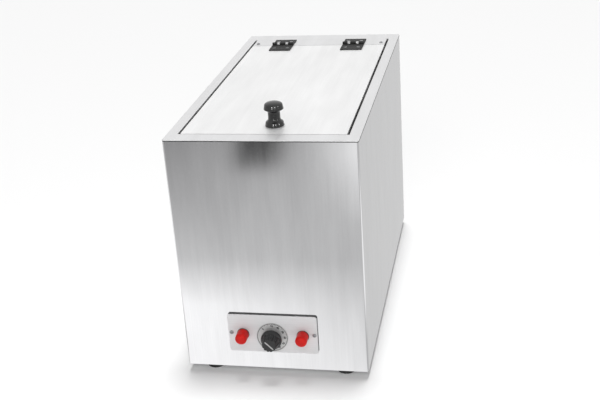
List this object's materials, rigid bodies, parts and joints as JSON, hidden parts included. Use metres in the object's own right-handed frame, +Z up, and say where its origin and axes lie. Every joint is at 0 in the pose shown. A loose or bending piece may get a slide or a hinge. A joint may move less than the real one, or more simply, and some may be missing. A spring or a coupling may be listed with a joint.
{
  "type": "paraffin wax bath",
  "caption": "Free-standing brushed-steel wax bath: deep box on rubber feet, flush hinged lid with a waisted knob, heated inner tank, front panel with thermostat knob and red indicator lamps.",
  "frame": {"origin": "on the floor under the middle of the bath", "axes": "+X to the right of someone facing the control panel, +Y to the rear along the longest side, +Z up"},
  "size_m": [0.3, 0.663, 0.446],
  "materials": {
    "casing_steel": "brushed stainless sheet, grain upright",
    "top_steel": "bright brushed stainless sheet",
    "tank_steel": "satin stainless sheet",
    "fastener_steel": "plated steel",
    "foot_rubber": "matt black rubber",
    "seal_rubber": "matt black rubber",
    "knob_black": "glossy moulded thermoset",
    "grip_black": "satin moulded plastic",
    "hinge_black": "satin black enamel on steel",
    "wool": "mineral wool",
    "heater_sheath": "heat-darkened metal sheath",
    "copper": "bare copper",
    "board_black": "black board",
    "fascia_silver": "satin silver plate",
    "dial_grey": "printed grey disc",
    "switch_housing": "moulded housing",
    "pointer_white": "white paint",
    "lens_red": "red translucent lens",
    "terminal_brass": "plain brass",
    "wire_red": "red-brown silicone sleeve",
    "gland_black": "black moulded gland"
  },
  "bodies": {
    "cabinet": {"casing": "casing_steel", "rear_panel": "casing_steel", "rear_screws": "fastener_steel", "base_plate": "casing_steel", "base_screws": "fastener_steel", "feet": "foot_rubber", "foot_screws": "fastener_steel", "top_frame": "top_steel", "hinge_strip": "top_steel", "strip_posts": "fastener_steel", "strip_screws": "fastener_steel", "lid_seal": "seal_rubber", "hinge_fixed_leaves": "hinge_black", "hinge_pins": "hinge_black", "hinge_fixed_screws": "fastener_steel", "wax_tank": "tank_steel", "tank_insulation": "wool", "heater_element": "heater_sheath", "heater_clamps": "fastener_steel", "heater_studs": "fastener_steel", "heater_pan": "tank_steel", "heater_pad": "wool", "sensor_bulb": "copper", "bulb_clip": "fastener_steel", "capillary_tube": "copper", "fascia_backing": "board_black", "fascia_plate": "fascia_silver", "fascia_screws": "fastener_steel", "dial_plate": "dial_grey", "thermostat_body": "switch_housing", "thermostat_nut": "fastener_steel", "lamp_lenses": "lens_red", "lamp_bezels": "board_black", "lamp_bodies": "board_black", "lamp_nuts": "fastener_steel", "terminal_block": "switch_housing", "terminal_screws": "terminal_brass", "wires": "wire_red", "earth_stud": "terminal_brass", "cord_gland": "gland_black", "gland_locknut": "gland_black"},
    "lid": {"lid_panel": "top_steel", "lid_liner": "tank_steel", "lid_insulation": "wool", "lid_knob": "knob_black", "lid_knob_screw": "fastener_steel", "hinge_lid_leaves": "hinge_black", "hinge_lid_screws": "fastener_steel"},
    "thermostat_control": {"thermostat_shaft": "fastener_steel", "thermostat_knob": "grip_black", "knob_pointer": "pointer_white"}
  },
  "joints": [
    {"name": "lid_hinge", "type": "hinge", "parent": "cabinet", "child": "lid", "pos_m": [0, 0.225, 0.4116], "axis": [-1, 0, 0], "range_deg": [0, 175]},
    {"name": "thermostat_turn", "type": "hinge", "parent": "cabinet", "child": "thermostat_control", "pos_m": [-0.003, -0.305, 0.073], "axis": [0, 1, 0], "range_deg": [0, 270]}
  ]
}
